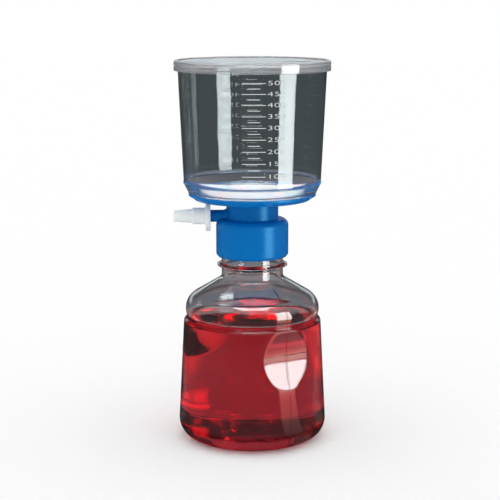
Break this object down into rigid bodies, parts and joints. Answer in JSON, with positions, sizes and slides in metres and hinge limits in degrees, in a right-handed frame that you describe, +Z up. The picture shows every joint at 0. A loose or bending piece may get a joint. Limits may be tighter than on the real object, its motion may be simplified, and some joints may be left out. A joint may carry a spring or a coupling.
{
  "type": "vacuum filtration unit",
  "caption": "Bottle-top vacuum filtration unit: clear lidded funnel over a membrane housing with a side arm and hose adapter, screwed on a round receiver bottle of red filtrate.",
  "frame": {"origin": "middle of the bottle's flat base", "axes": "+Z up along the unit's axis; the side arm and hose adapter point to -X; the funnel's front graduations face -Y"},
  "size_m": [0.1057, 0.1046, 0.2579],
  "materials": {
    "clear_plastic": "clear polystyrene, polished mould",
    "red_liquid": "clear red aqueous liquid",
    "seal_rubber": "soft elastomer, matt",
    "blue_plastic": "opaque blue moulded plastic, satin",
    "white_plastic": "natural polypropylene, slightly translucent",
    "filter_membrane": "matt white microporous film",
    "cotton_wool": "loose white cotton"
  },
  "bodies": {
    "bottle": {"receiver_bottle": "clear_plastic", "filtrate": "red_liquid"},
    "seal": {"neck_gasket": "seal_rubber"},
    "upper_unit": {"filter_housing": "blue_plastic", "support_plate": "white_plastic", "membrane": "filter_membrane", "funnel": "clear_plastic"},
    "lid": {"lid": "clear_plastic"},
    "hose_adapter": {"hose_adapter": "white_plastic", "port_plug": "cotton_wool"}
  },
  "joints": [
    {"name": "collar_lift", "type": "slide", "parent": "bottle", "child": "seal", "axis": [0, 0, 1], "range_m": [0, 0.0064]},
    {"name": "collar_unscrew", "type": "hinge", "parent": "seal", "child": "upper_unit", "pos_m": [0, 0, 0.137], "axis": [0, 0, 1], "range_deg": [0, 540]},
    {"name": "lid_lift", "type": "slide", "parent": "upper_unit", "child": "lid", "axis": [0, 0, 1], "range_m": [0, 0.03]},
    {"name": "hose_adapter_pull", "type": "slide", "parent": "upper_unit", "child": "hose_adapter", "axis": [-1, 0, 0], "range_m": [0, 0.02]}
  ],
  "couplings": [
    {"joint": "collar_lift", "follows": "collar_unscrew", "m_per_rad": 0.00066845}
  ]
}
